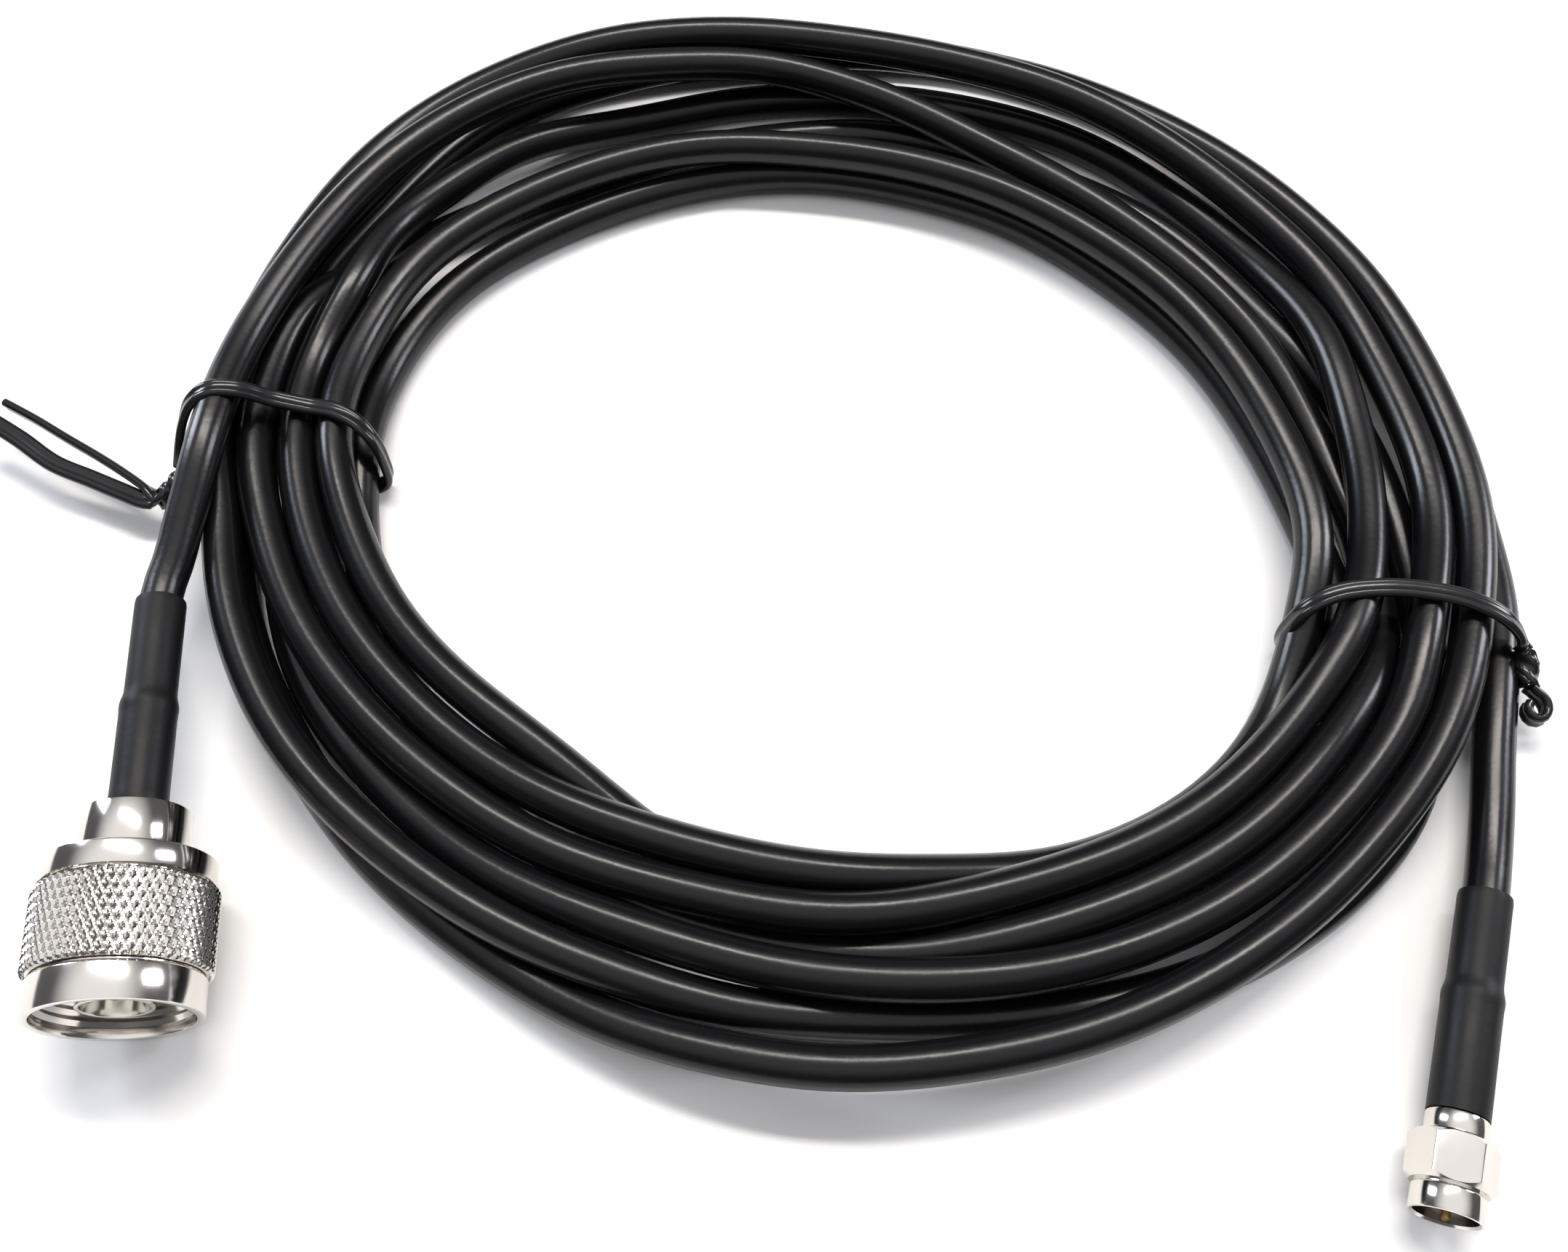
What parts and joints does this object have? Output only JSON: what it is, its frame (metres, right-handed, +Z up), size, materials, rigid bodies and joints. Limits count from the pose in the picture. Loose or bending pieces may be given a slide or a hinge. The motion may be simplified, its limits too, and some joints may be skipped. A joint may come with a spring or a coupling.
{
  "type": "coaxial adapter cable coil",
  "caption": "Black coaxial jumper cable wound in a flat round coil, held by wire ties, with a large knurled-nut plug at one end and a small hex-nut plug at the other.",
  "frame": {"origin": "On the floor under the middle of the whole part's bounding box.", "axes": "+X runs across the coil from the large plug's side to the small plug's side, +Y from the plugs' noses towards the far side of the coil, +Z up off the floor."},
  "size_m": [0.2016, 0.1778, 0.0193],
  "materials": {
    "cable_jacket": "black PVC jacket, satin",
    "heat_shrink": "black polyolefin heat-shrink, dull",
    "nickel_plate": "bright nickel plate",
    "ferrule_plate": "nickel-plated crimp ferrule",
    "insulator": "white PTFE insulator",
    "pin_gold": "gold-plated centre pin",
    "tie_plastic": "glossy black plastic-covered wire"
  },
  "bodies": {
    "cable": {"coil": "cable_jacket", "cable_tail_n": "cable_jacket", "cable_tail_sma": "cable_jacket", "n_heat_shrink": "heat_shrink", "n_ferrule": "ferrule_plate", "n_body": "nickel_plate", "n_insulator": "insulator", "n_pin": "pin_gold", "sma_heat_shrink": "heat_shrink", "sma_ferrule": "ferrule_plate", "sma_body": "nickel_plate", "sma_insulator": "insulator", "sma_pin": "pin_gold", "tie_left": "tie_plastic", "tie_right": "tie_plastic"},
    "n_nut": {"n_coupling_nut": "nickel_plate"},
    "sma_nut": {"sma_coupling_nut": "nickel_plate"}
  },
  "joints": [
    {"name": "n_nut_spin", "type": "hinge", "parent": "cable", "child": "n_nut", "pos_m": [-0.06643, -0.05493, 0.00965], "axis": [0.1011, -0.9949, 0], "continuous": true},
    {"name": "sma_nut_spin", "type": "hinge", "parent": "cable", "child": "sma_nut", "pos_m": [0.07472, -0.08239, 0.00438], "axis": [-0.3289, -0.9444, 0], "continuous": true}
  ]
}
